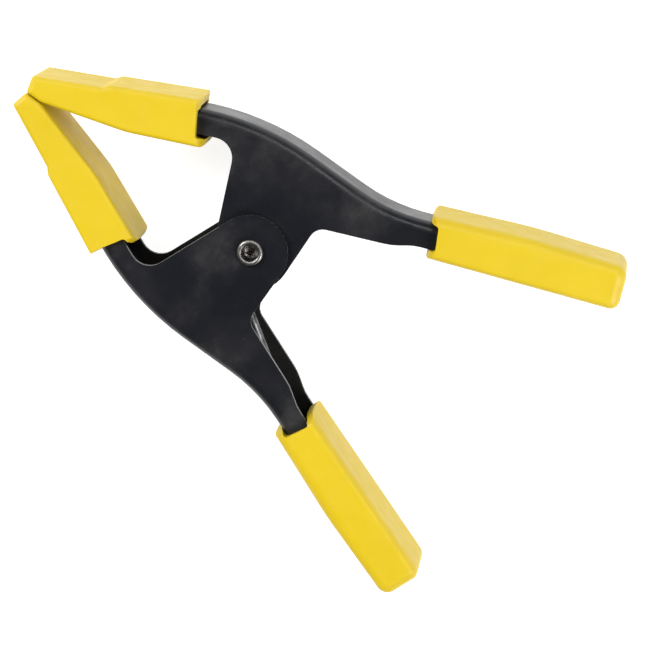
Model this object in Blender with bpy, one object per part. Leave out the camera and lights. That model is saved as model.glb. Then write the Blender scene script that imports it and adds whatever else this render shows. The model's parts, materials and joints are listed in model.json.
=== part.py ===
"""Two inch spring clamp: two nested steel channels on a rivet, a torsion spring, and four soft sleeves.

The clamp lies on its side with the pivot axis along +Z, the jaws toward -X and the handles toward +X.
All outlines are written for the upper arm, with the pivot at the origin; the lower arm is its mirror image.
"""

import math

import bmesh
import bpy
from mathutils import Vector

MM = 0.001

# Overall sizes
JAW_REACH = 76.2 * MM  # pivot to the foremost point of the jaw sleeves
HANDLE_REACH = 89.6 * MM  # pivot to the rearmost point of the handle sleeves
ARM_WIDTH = 22.0 * MM  # outer channel, along the pivot axis
SPINE_HEIGHT = 31.1 * MM  # pivot to the back of the channel above it

# Stamped channels
SHEET = 1.4 * MM
BEND_RADIUS = 3.2 * MM  # outside of the bend
NEST_GAP = 0.3 * MM  # between the ears of the two arms
EAR_RADIUS = 10.4 * MM
EAR_LEAN = math.radians(22.7)  # front edge of the ear, from square
JAW_NOSE_DEPTH = 4.4 * MM  # channel depth at the front end of the steel jaw
HANDLE_ANGLE = math.radians(21.0)
HANDLE_HEIGHT = 7.2 * MM  # channel depth under the handle sleeve
THROAT_RADIUS = 5.6 * MM  # hollow corner in front of the ear
HEEL_HEIGHT = 16.0 * MM  # pivot line to the hollow corner behind the ear
HEEL_RADIUS = 4.0 * MM
INNER_EAR_EXTRA = 1.1 * MM  # the ear of the inner channel reaches this much further back

# Sleeves
SLEEVE_SIDE = 1.7 * MM  # how far a sleeve stands out beside the outer channel
SLEEVE_WIDTH = ARM_WIDTH + 2 * SLEEVE_SIDE
WALL = 2.0 * MM
TIP_SETBACK = 12.8 * MM  # solid vinyl in front of the steel jaw
END_SETBACK = 4.2 * MM  # solid vinyl behind the steel handle
FIT_GAP = 0.3 * MM  # between a sleeve and its channel
JAW_STEP = 0.9 * MM  # thicker rear half of the jaw sleeve
JAW_TIP_HEIGHT = 4.7 * MM
CLOSED_GAP = 0.36 * MM  # between the two jaw tips at rest
SLEEVE_EDGE = 1.3 * MM
GRIP_EDGE = 3.0 * MM
GRIP_FLARE = 0.5 * MM  # extra depth at the end of the handle sleeve
MOUTH_SHARE = 0.45  # how much of the edge rounding the open ends get
TIP_SHARE = 1.3  # and how much the jaw tips get
GRIP_FOOT_SHARE = 0.6  # and the gripped edges of the handle sleeves
GRIP_CROWN = 0.9 * MM
CHEEK_RAISE = 0.9 * MM  # how much more room the jaw foot has near the mouth
JAW_LIP = 2.8 * MM  # how far the foot wall stands out of the mouth
JAW_BACK_LIP = 1.4 * MM
GRIP_LIP = 3.2 * MM
GRIP_BACK_LIP = 2.8 * MM
LIP_ARCH = 9.5 * MM  # how far in from each side a lip rises to its full reach
LIP_SHORTENING = 0.45 * MM  # what the rounded rim takes off a lip
FLANGE = 0.25 * MM  # side wall left beside a lip
SCOOP_RADIUS = 0.9 * MM
ARCH_STEPS = 9
MOUTH_LEAN = math.radians(4.8)

# Rivet
SHANK_RADIUS = 2.75 * MM
PIVOT_HOLE_RADIUS = 3.05 * MM
RIM_RADIUS = 3.65 * MM
DRILL_RADIUS = 2.25 * MM
DRILL_DEPTH = 3.6 * MM
HEAD_RADIUS = 5.2 * MM
HEAD_GAP = 0.3 * MM

# Torsion spring
WIRE = 2.5 * MM
COIL_GAP = 2.9 * MM  # between the coil and the shank
COIL_AIR = 0.15 * MM  # least gap between two turns
COIL_END_GAP = 0.5 * MM  # between the coil and the ears
LEG_REACH = 36.0 * MM  # pivot to the leg end, along the clamp
LEG_GAP = 0.35 * MM  # between a leg and the channel it pushes

ARC_ERROR = 0.04 * MM
COARSEST_ARC = math.radians(14)

UPPER = 1
LOWER = -1


def arc_steps(radius, turn):
    step = 2 * math.acos(1 - min(1.0, ARC_ERROR / max(radius, ARC_ERROR)))
    return max(2, math.ceil(turn / min(step, COARSEST_ARC)))


def line_meet(point_a, along_a, point_b, along_b):
    cross = along_a.x * along_b.y - along_a.y * along_b.x
    gap = point_b - point_a
    return point_a + along_a * ((gap.x * along_b.y - gap.y * along_b.x) / cross)


def inset_corners(corners, insets):
    """Moves each edge of an anticlockwise outline inward; edge i runs from corner i to the next."""
    points = [Vector((x, y)) for x, y, _ in corners]
    count = len(points)
    edges = []
    for i in range(count):
        along = (points[(i + 1) % count] - points[i]).normalized()
        inward = Vector((-along.y, along.x))
        edges.append((points[i] + inward * insets[i], along))
    moved = []
    for i in range(count):
        before = edges[i - 1]
        after = edges[i]
        point = line_meet(before[0], before[1], after[0], after[1])
        turn = before[1].cross(after[1])
        both = min(insets[i - 1], insets[i])
        radius = corners[i][2] - both if turn > 0 else corners[i][2] + both
        moved.append((point, max(radius, 0.15 * MM), before[1], after[1]))
    return moved


def outline(corners, insets=None):
    """Points of a closed outline whose corners (x, y, radius) are rounded with arcs."""
    insets = insets or [0.0] * len(corners)
    points = []
    for (x, y, radius), (corner, shrunk, into, out) in zip(corners, inset_corners(corners, insets)):
        turn = into.angle_signed(out)
        turn = -turn
        steps = arc_steps(radius, abs(turn))
        length = shrunk * math.tan(abs(turn) / 2)
        start = corner - into * length
        side = 1 if turn > 0 else -1
        centre = start + Vector((-into.y, into.x)) * shrunk * side
        spoke = start - centre
        for k in range(steps + 1):
            angle = turn * k / steps
            cosine = math.cos(angle)
            sine = math.sin(angle)
            turned = Vector((spoke.x * cosine - spoke.y * sine, spoke.x * sine + spoke.y * cosine))
            points.append(centre + turned)
    return points


def rounding_levels(half_width, radius, steps):
    """(z, inset) from one side face to the other, rounding both edges."""
    levels = []
    for k in range(steps + 1):
        angle = math.pi / 2 * k / steps
        levels.append((half_width - radius * (1 - math.sin(angle)), radius * (1 - math.cos(angle))))
    return [(-z, inset) for z, inset in reversed(levels)] + levels


def stacked_mesh(name, corners, weights, half_width, radius, steps, base=None):
    """A block along Z whose edges with weight 1 are rounded toward both side faces."""
    base = base or [0.0] * len(corners)
    rings = []
    for z, inset in rounding_levels(half_width, radius, steps):
        insets = [offset + inset * weight for offset, weight in zip(base, weights)]
        rings.append([(p.x, p.y, z) for p in outline(corners, insets)])
    build = bmesh.new()
    verts = [[build.verts.new(p) for p in ring] for ring in rings]
    count = len(rings[0])
    build.faces.new(list(reversed(verts[0])))
    build.faces.new(verts[-1])
    for lower, upper in zip(verts, verts[1:]):
        for i in range(count):
            j = (i + 1) % count
            build.faces.new((lower[i], lower[j], upper[j], upper[i]))
    bmesh.ops.remove_doubles(build, verts=build.verts, dist=0.004 * MM)
    bmesh.ops.recalc_face_normals(build, faces=build.faces)
    mesh = bpy.data.meshes.new(name)
    build.to_mesh(mesh)
    build.free()
    return mesh


def mirror_for(mesh, side):
    if side == UPPER:
        return
    build = bmesh.new()
    build.from_mesh(mesh)
    bmesh.ops.scale(build, vec=(1, -1, 1), verts=build.verts)
    bmesh.ops.reverse_faces(build, faces=build.faces)
    build.to_mesh(mesh)
    build.free()


def add_object(mesh, name, material=None):
    obj = bpy.data.objects.new(name, mesh)
    obj.location = PIVOT
    bpy.context.scene.collection.objects.link(obj)
    if material:
        mesh.materials.append(material)
    return obj


def cut(target, mesh, name):
    cutter = add_object(mesh, name)
    cutter.hide_render = True
    cutter.display_type = "WIRE"
    modifier = target.modifiers.new(name, "BOOLEAN")
    modifier.operation = "DIFFERENCE"
    modifier.solver = "EXACT"
    modifier.object = cutter


def smooth(mesh, angle):
    mesh.shade_smooth()
    mesh.set_sharp_from_angle(angle=angle)


def material(name, colour, roughness, metallic=0.0):
    made = bpy.data.materials.new(name)
    made.use_nodes = True
    shader = made.node_tree.nodes["Principled BSDF"]
    shader.inputs["Base Color"].default_value = (*colour, 1)
    shader.inputs["Roughness"].default_value = roughness
    shader.inputs["Metallic"].default_value = metallic
    return made


def direction(angle):
    return Vector((math.cos(angle), math.sin(angle)))


def left_of(along):
    return Vector((-along.y, along.x))


def along_line(point, along, x):
    """The point of a line at a given x."""
    return point + along * ((x - point.x) / along.x)


# The clamp rests on the side faces of its sleeves, centred over the origin
PIVOT = Vector((-(HANDLE_REACH - JAW_REACH) / 2, 0, SLEEVE_WIDTH / 2))

# Lines shared by the channels and the sleeves, for the upper arm
COVERED = WALL + FIT_GAP
HANDLE_BACK = direction(HANDLE_ANGLE)
HANDLE_BACK_START = Vector((0.2655 * HANDLE_REACH, SPINE_HEIGHT))

# Foot of the jaw sleeve: flat tip, then two straight runs that open toward the throat
TIP_LEVEL = CLOSED_GAP / 2
JAW_FLAT = Vector((-0.9224 * JAW_REACH, TIP_LEVEL))
JAW_FRONT_RUN = direction(math.radians(16.5))
JAW_REAR_RUN = direction(math.radians(24.2))
JAW_KNEE = JAW_FLAT + JAW_FRONT_RUN * (0.3257 * JAW_REACH)
JAW_MOUTH_FOOT = JAW_KNEE + JAW_REAR_RUN * (0.251 * JAW_REACH)

# Back of the jaw channel, from over the ear down to its front end
JAW_FRONT = -JAW_REACH + TIP_SETBACK
JAW_FRONT_FOOT = along_line(JAW_FLAT + left_of(JAW_FRONT_RUN) * COVERED, JAW_FRONT_RUN, JAW_FRONT)
JAW_BACK_START = Vector((-0.2585 * JAW_REACH, SPINE_HEIGHT))
JAW_BACK = (JAW_BACK_START - JAW_FRONT_FOOT - Vector((0, JAW_NOSE_DEPTH))).normalized()
JAW_MOUTH = left_of(JAW_BACK) - JAW_BACK * math.tan(MOUTH_LEAN)

# Back of the jaw sleeve behind its step
JAW_STEP_X = -0.7719 * JAW_REACH
JAW_BACK_OUT = COVERED + 0.6 * JAW_STEP

# Underside of the handle channel
HANDLE_UNDER_START = HANDLE_BACK_START - left_of(HANDLE_BACK) * HANDLE_HEIGHT


def jaw_back_at(x, out=0.0):
    return along_line(JAW_BACK_START + left_of(JAW_BACK) * out, JAW_BACK, x)


def back_gap(side):
    """The narrower inner channel sits looser under the back of its jaw sleeve."""
    return FIT_GAP if side == LOWER else 0.8 * MM


def arm_corners(side):
    """Cheek outline, anticlockwise, and the edges that belong to the spine."""
    extra = INNER_EAR_EXTRA if side == UPPER else 0.0
    rear = HANDLE_REACH - END_SETBACK
    handle_top = along_line(HANDLE_BACK_START, HANDLE_BACK, rear)
    handle_foot = handle_top - left_of(HANDLE_BACK) * HANDLE_HEIGHT
    ramp_top = along_line(HANDLE_UNDER_START, HANDLE_BACK, 0.394 * HANDLE_REACH)
    ramp_foot = ramp_top - direction(math.radians(36)) * (0.07 * HANDLE_REACH)
    ear_front = Vector((-math.cos(EAR_LEAN), -math.sin(EAR_LEAN))) * EAR_RADIUS
    ear_edge = Vector((-math.sin(EAR_LEAN), math.cos(EAR_LEAN)))
    ear_foot = line_meet(ear_front, ear_edge, Vector((0, -EAR_RADIUS)), Vector((1, 0)))
    knee = JAW_KNEE + left_of(JAW_REAR_RUN) * (COVERED + CHEEK_RAISE)
    throat = line_meet(ear_front, ear_edge, knee, JAW_REAR_RUN)
    knee = line_meet(JAW_FRONT_FOOT, JAW_FRONT_RUN, knee, JAW_REAR_RUN)
    corners = [
        (*JAW_FRONT_FOOT, 0.3 * MM),
        (*knee, 30 * MM),
        (*throat, THROAT_RADIUS),
        (*ear_foot, EAR_RADIUS),
        (EAR_RADIUS + extra, -EAR_RADIUS, EAR_RADIUS),
        (EAR_RADIUS + 0.3 * extra, HEEL_HEIGHT, HEEL_RADIUS),
        (*ramp_foot, 18.0 * MM),
        (*ramp_top, 14.0 * MM),
        (*handle_foot, 1.0 * MM),
        (*handle_top, 1.0 * MM),
        (*HANDLE_BACK_START, 50 * MM),
        (*JAW_BACK_START, 78 * MM),
        (*jaw_back_at(JAW_FRONT), 0.3 * MM),
    ]
    spine = [0] * len(corners)
    for edge in (9, 10, 11):
        spine[edge] = 1
    return corners, spine


def channel_cutter_corners():
    """Everything under the web, run out past both ends."""
    front = jaw_back_at(-JAW_REACH - 9 * MM)
    rear = along_line(HANDLE_BACK_START, HANDLE_BACK, HANDLE_REACH + 9 * MM)
    low = -2 * EAR_RADIUS
    corners = [
        (front.x, low - 20 * MM, 1 * MM),
        (rear.x, low - 20 * MM, 1 * MM),
        (*rear, 1 * MM),
        (*HANDLE_BACK_START, 50 * MM),
        (*JAW_BACK_START, 78 * MM),
        (*front, 1 * MM),
    ]
    return corners, [0, 0, 1, 1, 1, 0]


def cylinder_mesh(name, radius, low, high, segments=40):
    build = bmesh.new()
    bmesh.ops.create_cone(
        build, cap_ends=True, segments=segments, radius1=radius, radius2=radius, depth=high - low
    )
    bmesh.ops.translate(build, vec=(0, 0, (low + high) / 2), verts=build.verts)
    mesh = bpy.data.meshes.new(name)
    build.to_mesh(mesh)
    build.free()
    return mesh


def half_width(side):
    """The lower arm is the outer channel."""
    outer = ARM_WIDTH / 2
    return outer if side == LOWER else outer - SHEET - NEST_GAP


def add_arm(side, name, paint):
    corners, spine = arm_corners(side)
    half = half_width(side)
    mesh = stacked_mesh(name, corners, spine, half, BEND_RADIUS, 6)
    mirror_for(mesh, side)
    arm = add_object(mesh, name, paint)
    corners, spine = channel_cutter_corners()
    base = [SHEET * edge for edge in spine]
    inside = stacked_mesh(name + "_inside", corners, spine, half - SHEET, BEND_RADIUS - SHEET, 5, base)
    mirror_for(inside, side)
    cut(arm, inside, name + "_inside")
    cut(arm, cylinder_mesh(name + "_hole", PIVOT_HOLE_RADIUS, -20 * MM, 20 * MM), name + "_hole")
    smooth(mesh, math.radians(25))
    return arm


def scoop_corners(foot, foot_run, top, back_run, back_wall, out):
    """Clears the side walls back to the line from foot to top, between the foot wall and the back wall."""
    foot_side = foot + left_of(foot_run) * (WALL + FLANGE)
    back_side = top - left_of(back_run) * (back_wall + FLANGE)
    low = line_meet(foot, top - foot, foot_side, foot_run)
    high = line_meet(foot, top - foot, back_side, back_run)
    spare = 9 * MM
    ring = [
        (*low, SCOOP_RADIUS),
        (*(low + foot_run * spare * out), 0.3 * MM),
        (*(high + back_run * spare * out), 0.3 * MM),
        (*high, SCOOP_RADIUS),
    ]
    return ring if out > 0 else ring[::-1]


def lip_arch(mouth, along, inward, lip, wall):
    """The end of a lip's arch, its directions, its reach and the wall it is cut from."""
    reach = lip - LIP_SHORTENING
    return mouth + along * reach, along, inward, reach, wall


def arch_outline(reach):
    """What lies beyond an arch across the sleeve's width, as (along, width) points."""
    spare = 1.5 * MM
    half = SLEEVE_WIDTH / 2
    rise = []
    for k in range(ARCH_STEPS + 1):
        angle = math.pi / 2 * k / ARCH_STEPS
        rise.append((reach * (math.cos(angle) - 1), half - LIP_ARCH * (1 - math.sin(angle))))
    far = [(u, -w) for u, w in reversed(rise)]
    edge = half + spare
    return [(-reach, edge), (spare, edge), (spare, -edge), (-reach, -edge), *far, *rise]


def lip_cutter_mesh(name, lips):
    """What lies outside the arched ends of the lips, right through their walls."""
    build = bmesh.new()
    for end, along, inward, reach, wall in lips:
        rings = []
        for depth in (-2 * WALL, wall + 2 * FLANGE):
            start = end + inward * depth
            points = [(start + along * u, w) for u, w in arch_outline(reach)]
            rings.append([build.verts.new((p.x, p.y, w)) for p, w in points])
        build.faces.new(rings[0])
        build.faces.new(list(reversed(rings[1])))
        count = len(rings[0])
        for i in range(count):
            j = (i + 1) % count
            build.faces.new((rings[0][i], rings[0][j], rings[1][j], rings[1][i]))
    bmesh.ops.recalc_face_normals(build, faces=build.faces)
    mesh = bpy.data.meshes.new(name)
    build.to_mesh(mesh)
    build.free()
    return mesh


def add_sleeve(side, name, body, edge, room, mouth, vinyl):
    """A moulded sleeve: a block rounded all round, with room for its channel and a scooped mouth."""
    corners, weights = body
    cavity, backs = room
    scoop, lips = mouth
    mesh = stacked_mesh(name, corners, weights, SLEEVE_WIDTH / 2, edge, 6)
    mirror_for(mesh, side)
    sleeve = add_object(mesh, name, vinyl)
    half = half_width(side) + FIT_GAP
    inside = stacked_mesh(name + "_room", cavity, backs, half, BEND_RADIUS + FIT_GAP, 5)
    mirror_for(inside, side)
    cut(sleeve, inside, name + "_room")
    reach = SLEEVE_WIDTH / 2 + 1 * MM
    scoop_mesh = stacked_mesh(name + "_scoop", scoop, [0] * len(scoop), reach, 0.3 * MM, 1)
    mirror_for(scoop_mesh, side)
    cut(sleeve, scoop_mesh, name + "_scoop")
    arches = lip_cutter_mesh(name + "_lip_arches", lips)
    mirror_for(arches, side)
    cut(sleeve, arches, name + "_lip_arches")
    smooth(mesh, math.radians(30))
    return sleeve


def jaw_mouth_top():
    """Where the side walls of the jaw sleeve end at its back."""
    return line_meet(JAW_MOUTH_FOOT, JAW_MOUTH, jaw_back_at(JAW_STEP_X, JAW_BACK_OUT), JAW_BACK)


def jaw_sleeve_corners():
    """Flat tip, foot, mouth and stepped back of a jaw sleeve."""
    step_foot = jaw_back_at(JAW_STEP_X, COVERED - 0.4 * JAW_STEP)
    step_top = jaw_back_at(JAW_STEP_X + 1.4 * MM, JAW_BACK_OUT)
    corners = [
        (-JAW_REACH + 1.1 * MM, TIP_LEVEL, 0.9 * MM),
        (*JAW_FLAT, 6.0 * MM),
        (*JAW_KNEE, 30 * MM),
        (*(JAW_MOUTH_FOOT + JAW_REAR_RUN * JAW_LIP), 1.2 * MM),
        (*(jaw_mouth_top() + JAW_BACK * JAW_BACK_LIP), 1.2 * MM),
        (*step_top, 2.0 * MM),
        (*step_foot, 1.0 * MM),
        (-JAW_REACH - 0.02 * MM, TIP_LEVEL + JAW_TIP_HEIGHT, 0.8 * MM),
    ]
    return corners, [1, 1, 1, MOUTH_SHARE, 1, 1, 1, TIP_SHARE]


def jaw_mouth():
    back_wall = JAW_BACK_OUT - FIT_GAP
    foot, top = JAW_MOUTH_FOOT, jaw_mouth_top()
    scoop = scoop_corners(foot, JAW_REAR_RUN, top, JAW_BACK, back_wall, 1)
    foot_lip = lip_arch(foot, JAW_REAR_RUN, left_of(JAW_REAR_RUN), JAW_LIP, WALL)
    back_lip = lip_arch(top, JAW_BACK, -left_of(JAW_BACK), JAW_BACK_LIP, back_wall)
    return scoop, [foot_lip, back_lip]


def jaw_room_corners(side):
    """The channel outline grown by the fit gap and run out through the mouth."""
    front = JAW_FRONT - FIT_GAP
    knee = JAW_KNEE + left_of(JAW_REAR_RUN) * WALL
    tip_foot = along_line(JAW_FLAT + left_of(JAW_FRONT_RUN) * WALL, JAW_FRONT_RUN, front)
    foot_end = along_line(knee, JAW_REAR_RUN, JAW_MOUTH_FOOT.x + 12 * MM)
    knee = line_meet(tip_foot, JAW_FRONT_RUN, knee, JAW_REAR_RUN)
    corners = [
        (*tip_foot, 0.3 * MM),
        (*knee, 30 * MM),
        (*foot_end, 0.3 * MM),
        (*jaw_back_at(foot_end.x - 2 * MM, back_gap(side)), 0.3 * MM),
        (*jaw_back_at(front, back_gap(side)), 0.3 * MM),
    ]
    return corners, [0, 0, 0, 1, 0]


def handle_back_at(x, out=0.0):
    return along_line(HANDLE_BACK_START + left_of(HANDLE_BACK) * out, HANDLE_BACK, x)


def grip_mouth_ends():
    """Where the side walls of the handle sleeve end, at the foot and at the back."""
    foot = handle_back_at(0.469 * HANDLE_REACH, -HANDLE_HEIGHT - COVERED)
    top = line_meet(foot, direction(math.radians(117.1)), handle_back_at(0, COVERED), HANDLE_BACK)
    return foot, top


def grip_corners():
    """Handle sleeve: square ended, with a slightly crowned back."""
    end_radius = 2.6 * MM
    end_x = HANDLE_REACH + end_radius * (HANDLE_BACK.x + HANDLE_BACK.y - 1)
    end_foot = handle_back_at(end_x, -HANDLE_HEIGHT - COVERED - GRIP_FLARE)
    end_top = line_meet(end_foot, left_of(HANDLE_BACK), handle_back_at(0, COVERED), HANDLE_BACK)
    mouth_foot, mouth_top = grip_mouth_ends()
    mouth_foot = mouth_foot - HANDLE_BACK * GRIP_LIP
    mouth_top = mouth_top - HANDLE_BACK * GRIP_BACK_LIP
    crown = (mouth_top + end_top) / 2 + left_of(HANDLE_BACK) * GRIP_CROWN
    corners = [
        (*mouth_foot, 1.2 * MM),
        (*end_foot, end_radius),
        (*end_top, 3.4 * MM),
        (*crown, 120 * MM),
        (*mouth_top, 1.2 * MM),
    ]
    return corners, [GRIP_FOOT_SHARE, 1, 1, 1, MOUTH_SHARE]


def grip_mouth():
    foot, top = grip_mouth_ends()
    scoop = scoop_corners(foot, HANDLE_BACK, top, HANDLE_BACK, WALL, -1)
    foot_lip = lip_arch(foot, -HANDLE_BACK, left_of(HANDLE_BACK), GRIP_LIP, WALL)
    back_lip = lip_arch(top, -HANDLE_BACK, -left_of(HANDLE_BACK), GRIP_BACK_LIP, WALL)
    return scoop, [foot_lip, back_lip]


def grip_room_corners():
    rear = HANDLE_REACH - END_SETBACK + FIT_GAP
    front_x = 0.27 * HANDLE_REACH
    rear_top = handle_back_at(rear, FIT_GAP)
    rear_foot = rear_top - left_of(HANDLE_BACK) * (HANDLE_HEIGHT + 2 * FIT_GAP)
    corners = [
        (*handle_back_at(front_x + 3 * MM, -HANDLE_HEIGHT - FIT_GAP), 0.3 * MM),
        (*rear_foot, 0.7 * MM),
        (*rear_top, 0.7 * MM),
        (*handle_back_at(front_x, FIT_GAP), 0.3 * MM),
    ]
    return corners, [0, 0, 1, 0]


def lathe_mesh(name, profile, segments):
    """Revolves (radius, z) points about Z; the first and last points lie on the axis."""
    build = bmesh.new()
    first = build.verts.new((0, 0, profile[0][1]))
    last = build.verts.new((0, 0, profile[-1][1]))
    rings = []
    for radius, z in profile[1:-1]:
        angles = [2 * math.pi * k / segments for k in range(segments)]
        rings.append([build.verts.new((radius * math.cos(a), radius * math.sin(a), z)) for a in angles])
    for k in range(segments):
        j = (k + 1) % segments
        build.faces.new((first, rings[0][j], rings[0][k]))
        for low, high in zip(rings, rings[1:]):
            build.faces.new((low[k], low[j], high[j], high[k]))
        build.faces.new((last, rings[-1][k], rings[-1][j]))
    bmesh.ops.recalc_face_normals(build, faces=build.faces)
    mesh = bpy.data.meshes.new(name)
    build.to_mesh(mesh)
    build.free()
    return mesh


def arc_profile(centre_r, centre_z, radius, start, end, steps):
    points = []
    for k in range(steps + 1):
        angle = math.radians(start + (end - start) * k / steps)
        points.append((centre_r + radius * math.cos(angle), centre_z + radius * math.sin(angle)))
    return points


def add_rivet(steel):
    """Formed head below, shank through the four ears, rolled rim round a drilled hole above."""
    under = ARM_WIDTH / 2 + HEAD_GAP
    dome_height = SLEEVE_WIDTH / 2 - 0.1 * MM - under - 0.35 * MM
    dome_radius = (HEAD_RADIUS**2 + dome_height**2) / (2 * dome_height)
    dome_turn = math.degrees(math.asin(HEAD_RADIUS / dome_radius))
    dome_centre = -under - 0.35 * MM - dome_height + dome_radius
    profile = arc_profile(0, dome_centre, dome_radius, -90, -90 + dome_turn, 5)
    profile[0] = (0, profile[0][1])
    profile += [(HEAD_RADIUS, -under), (SHANK_RADIUS, -under), (SHANK_RADIUS, under)]
    roll = (RIM_RADIUS - DRILL_RADIUS) / 2
    profile.append((RIM_RADIUS - 0.2 * MM, under))
    profile += arc_profile(RIM_RADIUS - roll, under + 0.35 * MM, roll, 0, 180, 8)
    floor = under - DRILL_DEPTH
    profile += [(DRILL_RADIUS, floor), (0, floor - 0.8 * MM)]
    mesh = lathe_mesh("pivot_rivet", profile, 40)
    smooth(mesh, math.radians(40))
    return add_object(mesh, "pivot_rivet", steel)


def tube_mesh(name, path, radius, sides):
    """A round wire along a path, with frames kept as parallel as possible."""
    build = bmesh.new()
    rings = []
    across = Vector((0, 0, 1))
    for i, point in enumerate(path):
        ahead = path[min(i + 1, len(path) - 1)]
        behind = path[max(i - 1, 0)]
        along = (ahead - behind).normalized()
        across = (across - along * across.dot(along)).normalized()
        other = along.cross(across)
        ring = []
        for k in range(sides):
            angle = 2 * math.pi * k / sides
            spoke = across * math.cos(angle) + other * math.sin(angle)
            ring.append(build.verts.new(point + spoke * radius))
        rings.append(ring)
    for low, high in zip(rings, rings[1:]):
        for k in range(sides):
            j = (k + 1) % sides
            build.faces.new((low[k], low[j], high[j], high[k]))
    build.faces.new(rings[0])
    build.faces.new(list(reversed(rings[-1])))
    bmesh.ops.recalc_face_normals(build, faces=build.faces)
    mesh = bpy.data.meshes.new(name)
    build.to_mesh(mesh)
    build.free()
    return mesh


def spring_leg():
    """Upper leg: where it leaves the coil, and its end under the web of the handle."""
    coil = SHANK_RADIUS + COIL_GAP + WIRE / 2
    end = handle_back_at(LEG_REACH, -SHEET - LEG_GAP - WIRE / 2)
    reach = end.length
    lean = math.atan2(end.y, end.x) + math.acos(coil / reach)
    return Vector((coil * math.cos(lean), coil * math.sin(lean))), end, coil, lean


def add_spring(steel):
    """A coil round the shank as long as the ears leave room for; the lower leg leaves at its top, the upper at its foot."""
    leave, end, coil, lean = spring_leg()
    half = half_width(UPPER) - SHEET - COIL_END_GAP - WIRE / 2
    part_turn = (math.pi - lean) / math.pi
    whole_turns = math.floor(2 * half / (WIRE + COIL_AIR) - part_turn)
    turn = 2 * math.pi * (whole_turns + part_turn)
    leg_steps = 5
    path = []
    for k in range(leg_steps):
        point = end.lerp(leave, k / leg_steps)
        path.append(Vector((point.x, -point.y, half)))
    steps = math.ceil(turn / math.radians(16))
    for k in range(steps + 1):
        angle = -lean - turn * k / steps
        path.append(Vector((coil * math.cos(angle), coil * math.sin(angle), half - 2 * half * k / steps)))
    for k in range(1, leg_steps + 1):
        point = leave.lerp(end, k / leg_steps)
        path.append(Vector((point.x, point.y, -half)))
    mesh = tube_mesh("torsion_spring", path, WIRE / 2, 12)
    smooth(mesh, math.radians(40))
    return add_object(mesh, "torsion_spring", steel)


def main():
    for obj in list(bpy.data.objects):
        bpy.data.objects.remove(obj, do_unlink=True)
    paint = material("black_paint", (0.022, 0.022, 0.027), 0.34)
    rivet_steel = material("plated_steel", (0.42, 0.42, 0.41), 0.35, 1.0)
    spring_steel = material("oiled_spring_steel", (0.05, 0.05, 0.055), 0.42, 0.8)
    vinyl = material("yellow_vinyl", (0.86, 0.62, 0.06), 0.42)
    for side, label in ((LOWER, "lower"), (UPPER, "upper")):
        add_arm(side, label + "_arm", paint)
        jaw = jaw_sleeve_corners()
        grip = grip_corners()
        jaw_room = jaw_room_corners(side)
        add_sleeve(side, label + "_jaw_cover", jaw, SLEEVE_EDGE, jaw_room, jaw_mouth(), vinyl)
        add_sleeve(side, label + "_handle_grip", grip, GRIP_EDGE, grip_room_corners(), grip_mouth(), vinyl)
    add_rivet(rivet_steel)
    add_spring(spring_steel)


main()
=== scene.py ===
"""Looks of the spring clamp: painted channels with worn edges lightened by a painted highlight, vinyl
sleeves, rivet and spring.
"""

import json
import math

import bmesh
import bpy
from mathutils import Matrix, Vector


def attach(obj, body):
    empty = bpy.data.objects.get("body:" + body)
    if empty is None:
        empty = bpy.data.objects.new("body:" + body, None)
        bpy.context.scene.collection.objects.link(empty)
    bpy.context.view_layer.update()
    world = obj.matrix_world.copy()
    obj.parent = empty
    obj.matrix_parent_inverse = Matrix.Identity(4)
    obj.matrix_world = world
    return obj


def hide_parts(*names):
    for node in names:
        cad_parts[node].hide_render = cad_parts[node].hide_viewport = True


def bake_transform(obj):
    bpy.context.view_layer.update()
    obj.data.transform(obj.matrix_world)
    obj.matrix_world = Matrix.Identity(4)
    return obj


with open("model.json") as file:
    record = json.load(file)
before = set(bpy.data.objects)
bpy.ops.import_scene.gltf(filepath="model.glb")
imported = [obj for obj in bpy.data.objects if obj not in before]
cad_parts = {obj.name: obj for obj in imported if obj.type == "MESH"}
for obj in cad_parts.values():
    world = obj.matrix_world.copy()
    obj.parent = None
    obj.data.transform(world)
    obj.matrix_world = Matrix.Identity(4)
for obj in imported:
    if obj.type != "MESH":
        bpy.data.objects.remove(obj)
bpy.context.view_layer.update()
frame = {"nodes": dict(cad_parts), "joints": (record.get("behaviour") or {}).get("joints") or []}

MM = 0.001
PIVOT = Vector(frame["joints"][0]["pos_m"])

# Clean-up of the CAD meshes: points this close become one, and so do faces that turn less than this
MERGE_GAP = 0.002 * MM
FLAT_ANGLE = math.radians(0.6)

# Rounding of edges: its width and steps, and the turn in degrees from which an edge is rounded
SHEET_ROUNDING = 0.26 * MM
JAW_ROUNDING = 0.35 * MM
GRIP_ROUNDING = 0.5 * MM
RIVET_ROUNDING = 0.12 * MM
METAL_STEPS = 2
VINYL_STEPS = 3
CORNER = 32
RIVET_CORNER = 40

# Material slots: -1 keeps each face's own, 1 and 2 are the places in a piece's list
OWN_SLOT = -1
EDGE_SLOT = 1
INSIDE_SHADE_SLOT = 2
HOLE_SLOT = 1

# Faces inside a channel, which get the painted shade: normals, and how far from the outer skin they start
CHEEK_TURN = 0.9
INWARD_TURN = 0.2
SKIN = 1.3 * MM

HOLE_RADIUS = 2.4 * MM

# Camera: where it stands, its own right and up directions, and its lens
CAMERA_PLACE = Vector((-0.00079, 0.18316, 0.91737))
CAMERA_RIGHT = Vector((0.8126, 0.5741, -0.1001))
CAMERA_UP = Vector((-0.5823, 0.7926, -0.1808))
CAMERA_LENS = 184.6
SENSOR = 36.0
NEAREST = 0.01
FARTHEST = 20

FLOOR_RADIUS = 3.0
FLOOR_SIDES = 96
FLOOR_HEIGHT = -0.02 * MM

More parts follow.
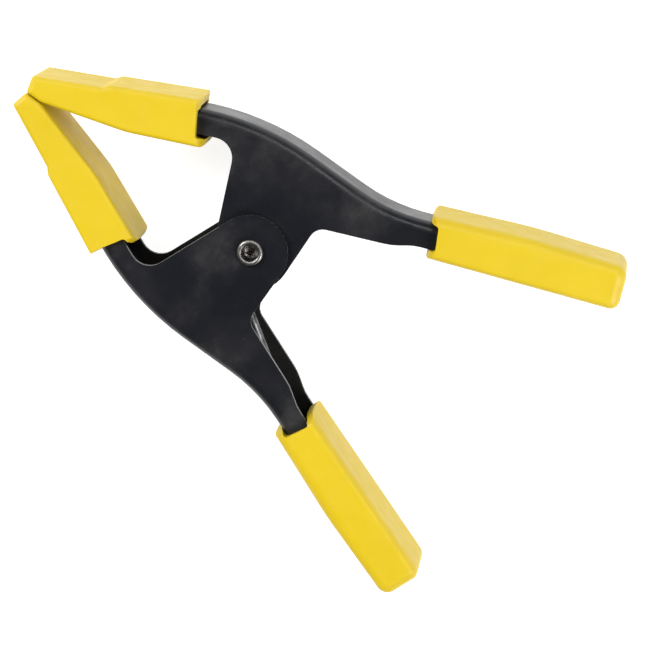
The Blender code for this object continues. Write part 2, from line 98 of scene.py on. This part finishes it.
# Lights: name, place, size, power, and whether glossy surfaces mirror the lamp
LIGHTS = (
    ("back_strip", (0.05, 0.85, 0.95), (1.2, 0.14), 7, True),
    ("left_box", (-0.95, 0.1, 0.75), (0.5, 0.9), 16.2, True),
    ("right_box", (0.95, 0.1, 0.75), (0.5, 0.9), 14.6, True),
    ("front_fill", (0.0, -1.0, 0.6), (1.0, 0.4), 6, False),
)
AIM = Vector((0, 0, 0))

# World: strength of walls and ceiling, and the heights between which one turns into the other
WALL_LIGHT = 0.85
CEILING_LIGHT = 0.12
WALL_TOP = 0.1
CEILING_START = 0.65


# ---------------------------------------------------------------- node helpers


class Shader:
    """A material with one Principled shader and short calls for its nodes."""

    def __init__(self, name):
        self.made = bpy.data.materials.new(name)
        self.made.use_nodes = True
        self.tree = self.made.node_tree
        self.main = self.tree.nodes["Principled BSDF"]
        self.place = self.add("ShaderNodeTexCoord").outputs["Object"]

    def add(self, kind, **settings):
        node = self.tree.nodes.new(kind)
        for key, value in settings.items():
            setattr(node, key, value)
        return node

    def link(self, source, target):
        self.tree.links.new(source, target)

    def feed(self, socket, value):
        """Links another node's output to the socket, or sets a plain value on it."""
        if hasattr(value, "is_output"):
            self.link(value, socket)
        else:
            socket.default_value = value

    def fill(self, node, values):
        for key, value in values.items():
            self.feed(node.inputs[key], value)
        return node

    def set(self, **values):
        for key, value in values.items():
            self.main.inputs[key.replace("_", " ")].default_value = value

    def noise(self, scale, detail=3.0, roughness=0.55, stretch=None):
        place = self.place
        if stretch:
            place = self.fill(self.add("ShaderNodeMapping"), {"Vector": place, "Scale": stretch}).outputs[0]
        node = self.add("ShaderNodeTexNoise")
        self.fill(node, {"Vector": place, "Scale": scale, "Detail": detail, "Roughness": roughness})
        return node.outputs["Fac"]

    def ramp(self, source, low, high, bottom=0.0, top=1.0):
        node = self.add("ShaderNodeMapRange", interpolation_type="SMOOTHSTEP")
        values = {"Value": source, "From Min": low, "From Max": high, "To Min": bottom, "To Max": top}
        return self.fill(node, values).outputs[0]

    def math(self, operation, first, second=0.0):
        node = self.add("ShaderNodeMath", operation=operation)
        for socket, value in zip(node.inputs, (first, second)):
            self.feed(socket, value)
        return node.outputs[0]

    def mix(self, share, first, second):
        node = self.add("ShaderNodeMix", data_type="RGBA")
        for socket, value in ((node.inputs[0], share), (node.inputs[6], first), (node.inputs[7], second)):
            self.feed(socket, value)
        return node.outputs[2]

    def colour(self, source):
        self.link(source, self.main.inputs["Base Color"])

    def rough(self, source):
        self.link(source, self.main.inputs["Roughness"])

    def bump(self, height, strength, distance):
        node = self.add("ShaderNodeBump")
        self.fill(node, {"Height": height, "Strength": strength, "Distance": distance})
        self.link(node.outputs[0], self.main.inputs["Normal"])


def rgb(red, green, blue):
    return (red, green, blue, 1.0)


# ---------------------------------------------------------------- materials


def black_paint():
    """Satin paint with orange peel, a little dust and pale specks."""
    deep, pale = rgb(0.006, 0.0065, 0.009), rgb(0.012, 0.012, 0.0145)
    dusty, chipped = rgb(0.045, 0.043, 0.04), rgb(0.12, 0.115, 0.11)
    paint = Shader("black_paint")
    cloud = paint.noise(55, 4)
    base = paint.mix(paint.ramp(cloud, 0.35, 0.7), deep, pale)
    smear = paint.noise(60, 6, 0.7, (1.0, 0.7, 1.0))
    dust = paint.ramp(smear, 0.48, 0.8, 0.0, 0.48)
    base = paint.mix(dust, base, dusty)
    speck = paint.ramp(paint.noise(1500, 2), 0.74, 0.8, 0.0, 0.5)
    paint.colour(paint.mix(speck, base, chipped))
    paint.rough(paint.ramp(smear, 0.3, 0.75, 0.3, 0.46))
    peel = paint.math("ADD", paint.noise(900, 2), paint.math("MULTIPLY", paint.noise(160, 2), 1.6))
    paint.bump(peel, 0.16, 0.2 * MM)
    paint.set(IOR=1.4)
    return paint.made


def inside_painted_shade():
    """Thin, dull paint inside the channels, darker than the outer paint: painted shade."""
    # Both tones are far darker than the outer paint, as painted shade inside the channel.
    deep, pale = rgb(0.0025, 0.0022, 0.0018), rgb(0.008, 0.007, 0.005)
    paint = Shader("inside_painted_shade")
    blotch = paint.noise(220, 5, 0.65)
    paint.colour(paint.mix(paint.ramp(blotch, 0.4, 0.7), deep, pale))
    paint.rough(paint.ramp(blotch, 0.3, 0.7, 0.6, 0.75))
    paint.bump(blotch, 0.3, 0.2 * MM)
    paint.set(IOR=1.3)
    return paint.made


def worn_edge_highlight():
    """Paint rubbed thin along the rounded edges of the sheet, on an edge colour lighter than the paint
    throughout: wear plus painted highlight.
    """
    # The base edge colour, lighter than the paint all along every edge, is a painted highlight; the rubbed
    # spots on it are wear.
    painted, rubbed = rgb(0.09, 0.09, 0.095), rgb(0.24, 0.235, 0.23)
    edge = Shader("worn_edge_highlight")
    rub = edge.noise(380, 4, 0.6)
    edge.colour(edge.mix(edge.ramp(rub, 0.4, 0.62), painted, rubbed))
    edge.link(edge.ramp(rub, 0.4, 0.62, 0.0, 0.3), edge.main.inputs["Metallic"])
    edge.rough(edge.ramp(rub, 0.3, 0.7, 0.3, 0.5))
    return edge.made


def yellow_vinyl():
    """Soft dipped vinyl with faint grime and a fine grain."""
    deep, pale = rgb(0.53, 0.378, 0.002), rgb(0.555, 0.4, 0.004)
    grimy, spotted = rgb(0.4, 0.29, 0.03), rgb(0.33, 0.24, 0.04)
    vinyl = Shader("yellow_vinyl")
    cloud = vinyl.noise(45, 3)
    base = vinyl.mix(vinyl.ramp(cloud, 0.3, 0.7), deep, pale)
    grime = vinyl.ramp(vinyl.noise(120, 6, 0.7), 0.56, 0.78, 0.0, 0.22)
    base = vinyl.mix(grime, base, grimy)
    speck = vinyl.ramp(vinyl.noise(700, 2), 0.72, 0.78, 0.0, 0.35)
    vinyl.colour(vinyl.mix(speck, base, spotted))
    vinyl.rough(vinyl.ramp(vinyl.noise(200, 3), 0.3, 0.7, 0.46, 0.58))
    grain = vinyl.math("ADD", vinyl.noise(1400, 2), vinyl.math("MULTIPLY", vinyl.noise(90, 2), 2.0))
    vinyl.bump(grain, 0.12, 0.25 * MM)
    vinyl.set(Subsurface_Weight=0.12, Subsurface_Scale=0.002, IOR=1.5)
    vinyl.main.inputs["Subsurface Radius"].default_value = (1.0, 0.7, 0.15)
    return vinyl.made


def rivet_steel():
    """Plated steel of the rivet's rim and head."""
    bright, stained = rgb(0.3, 0.29, 0.28), rgb(0.12, 0.11, 0.1)
    steel = Shader("rivet_steel")
    stain = steel.noise(420, 5, 0.65)
    steel.colour(steel.mix(steel.ramp(stain, 0.4, 0.66), bright, stained))
    steel.rough(steel.ramp(stain, 0.35, 0.65, 0.36, 0.5))
    steel.bump(steel.noise(1100, 3), 0.25, 0.15 * MM)
    steel.set(Metallic=1.0)
    return steel.made


def drilled_steel():
    """Darker, rougher steel inside the rivet's hole."""
    bright, stained = rgb(0.3, 0.29, 0.28), rgb(0.07, 0.06, 0.055)
    steel = Shader("drilled_steel")
    stain = steel.noise(600, 5, 0.65)
    steel.colour(steel.mix(steel.ramp(stain, 0.42, 0.62), bright, stained))
    steel.rough(steel.ramp(stain, 0.3, 0.7, 0.3, 0.5))
    steel.bump(stain, 0.5, 0.2 * MM)
    steel.set(Metallic=1.0)
    return steel.made


def spring_wire():
    """Drawn, oiled wire."""
    bright, oiled = rgb(0.1, 0.1, 0.105), rgb(0.035, 0.033, 0.033)
    wire = Shader("spring_wire")
    drawn = wire.noise(500, 4, 0.6)
    wire.colour(wire.mix(wire.ramp(drawn, 0.35, 0.7), bright, oiled))
    wire.rough(wire.ramp(drawn, 0.3, 0.7, 0.3, 0.48))
    wire.bump(wire.noise(1600, 2), 0.2, 0.1 * MM)
    wire.set(Metallic=0.85)
    return wire.made


def floor_paper():
    """Pale paper with a faint glow of its own, so that it stays near white."""
    dim, lit = rgb(0.4, 0.4, 0.4), rgb(0.42, 0.42, 0.42)
    dim_glow, lit_glow = rgb(0.86, 0.86, 0.86), rgb(0.88, 0.88, 0.88)
    paper = Shader("floor_paper")
    fleck = paper.noise(30, 3)
    paper.colour(paper.mix(paper.ramp(fleck, 0.3, 0.7), dim, lit))
    glow = paper.mix(paper.ramp(fleck, 0.3, 0.7), dim_glow, lit_glow)
    paper.link(glow, paper.main.inputs["Emission Color"])
    paper.set(Roughness=0.85, Emission_Strength=1.0)
    return paper.made


# ---------------------------------------------------------------- pieces


def clean_copy(node, name):
    """A copy of a CAD node's mesh with its flat faces whole again."""
    mesh = frame["nodes"][node].data.copy()
    mesh.name = name
    work = bmesh.new()
    work.from_mesh(mesh)
    bmesh.ops.remove_doubles(work, verts=work.verts, dist=MERGE_GAP)
    bmesh.ops.dissolve_limit(work, angle_limit=FLAT_ANGLE, verts=work.verts, edges=work.edges)
    work.to_mesh(mesh)
    work.free()
    mesh.materials.clear()
    piece = bpy.data.objects.new(name, mesh)
    bpy.context.scene.collection.objects.link(piece)
    return piece


def soften(piece, width, segments, sharp=CORNER, edge_slot=OWN_SLOT):
    """Rounds the edges that turn more than sharp degrees and shades the rest evenly."""
    bevel = piece.modifiers.new("soft_edges", "BEVEL")
    bevel.width = width
    bevel.segments = segments
    bevel.limit_method = "ANGLE"
    bevel.angle_limit = math.radians(sharp)
    bevel.material = edge_slot
    bevel.use_clamp_overlap = True
    piece.data.shade_smooth()
    weigh = piece.modifiers.new("even_shading", "WEIGHTED_NORMAL")
    weigh.keep_sharp = True


def mark_inside_shade(piece, side):
    """Gives the faces that look into the channel the darker material that paints the shade inside it."""
    half = max(abs(v.co.z - PIVOT.z) for v in piece.data.vertices)
    for face in piece.data.polygons:
        height = face.center.z - PIVOT.z
        web = abs(face.normal.z) < CHEEK_TURN and face.normal.y * side < INWARD_TURN
        cheek = face.normal.z * height < 0 and abs(face.normal.z) > INWARD_TURN
        if abs(height) < half - SKIN and (web or cheek):
            face.material_index = INSIDE_SHADE_SLOT


def dress(node, name, body, materials, width, segments=METAL_STEPS, edge_slot=OWN_SLOT):
    """Replaces a CAD node with a clean, rounded copy that has these materials and rides the body."""
    piece = clean_copy(node, name)
    for material in materials:
        piece.data.materials.append(material)
    if edge_slot != OWN_SLOT:
        mark_inside_shade(piece, 1 if body == "upper" else -1)
    soften(piece, width, segments, edge_slot=edge_slot)
    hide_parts(node)
    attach(piece, body)


def add_arms():
    materials = (black_paint(), worn_edge_highlight(), inside_painted_shade())
    for body in ("lower", "upper"):
        dress(
            body + "_arm",
            body + "_channel",
            body,
            materials,
            SHEET_ROUNDING,
            edge_slot=EDGE_SLOT,
        )


def add_sleeves():
    vinyl = (yellow_vinyl(),)
    for body in ("lower", "upper"):
        for node, name, width in (
            ("_jaw_cover", "_jaw_sleeve", JAW_ROUNDING),
            ("_handle_grip", "_handle_sleeve", GRIP_ROUNDING),
        ):
            dress(body + node, body + name, body, vinyl, width, VINYL_STEPS)


def add_rivet():
    """The rivet, with the steel of its drilled hole on the faces round its middle."""
    piece = clean_copy("pivot_rivet", "rivet")
    piece.data.materials.append(rivet_steel())
    piece.data.materials.append(drilled_steel())
    for face in piece.data.polygons:
        middle = face.center - PIVOT
        if Vector((middle.x, middle.y)).length < HOLE_RADIUS and middle.z > 0:
            face.material_index = HOLE_SLOT
    soften(piece, RIVET_ROUNDING, METAL_STEPS, RIVET_CORNER)
    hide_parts("pivot_rivet")
    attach(piece, "lower")


def add_spring():
    """The coil as a clean, smooth-shaded copy, with its place baked into the mesh and tied to no arm."""
    piece = clean_copy("torsion_spring", "spring")
    piece.data.materials.append(spring_wire())
    piece.data.shade_smooth()
    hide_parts("torsion_spring")
    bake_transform(piece)


# ---------------------------------------------------------------- studio


def add_floor():
    work = bmesh.new()
    bmesh.ops.create_circle(work, cap_ends=True, segments=FLOOR_SIDES, radius=FLOOR_RADIUS)
    mesh = bpy.data.meshes.new("floor")
    work.to_mesh(mesh)
    work.free()
    mesh.materials.append(floor_paper())
    floor = bpy.data.objects.new("floor", mesh)
    floor.location.z = FLOOR_HEIGHT
    bpy.context.scene.collection.objects.link(floor)


def add_light(name, place, size, power, mirrored):
    light = bpy.data.lights.new(name, "AREA")
    light.shape = "RECTANGLE"
    light.size, light.size_y = size
    light.energy = power
    lamp = bpy.data.objects.new(name, light)
    lamp.location = place
    lamp.visible_glossy = mirrored
    lamp.rotation_euler = (AIM - Vector(place)).to_track_quat("-Z", "Y").to_euler()
    bpy.context.scene.collection.objects.link(lamp)


def add_world():
    """Pale walls round the table and a dark ceiling over it."""
    world = bpy.data.worlds.new("studio")
    world.use_nodes = True
    nodes = world.node_tree.nodes
    links = world.node_tree.links
    place = nodes.new("ShaderNodeTexCoord")
    height = nodes.new("ShaderNodeSeparateXYZ")
    shade = nodes.new("ShaderNodeMapRange")
    shade.interpolation_type = "SMOOTHSTEP"
    shade.inputs["From Min"].default_value = WALL_TOP
    shade.inputs["From Max"].default_value = CEILING_START
    shade.inputs["To Min"].default_value = WALL_LIGHT
    shade.inputs["To Max"].default_value = CEILING_LIGHT
    links.new(place.outputs["Generated"], height.inputs[0])
    links.new(height.outputs["Z"], shade.inputs["Value"])
    links.new(shade.outputs[0], nodes["Background"].inputs["Strength"])
    bpy.context.scene.world = world


def add_studio():
    add_floor()
    add_world()
    for light in LIGHTS:
        add_light(*light)
    bpy.context.scene.view_settings.view_transform = "Standard"


def add_camera():
    data = bpy.data.cameras.new("camera")
    data.lens = CAMERA_LENS
    data.sensor_width = SENSOR
    data.clip_start = NEAREST
    data.clip_end = FARTHEST
    camera = bpy.data.objects.new("camera", data)
    right = CAMERA_RIGHT.normalized()
    back = right.cross(CAMERA_UP).normalized()
    up = back.cross(right)
    turn = Matrix((right, up, back)).transposed()
    camera.matrix_world = Matrix.Translation(CAMERA_PLACE) @ turn.to_4x4()
    bpy.context.scene.collection.objects.link(camera)
    bpy.context.scene.camera = camera


add_arms()
add_sleeves()
add_rivet()
add_spring()
add_studio()
add_camera()
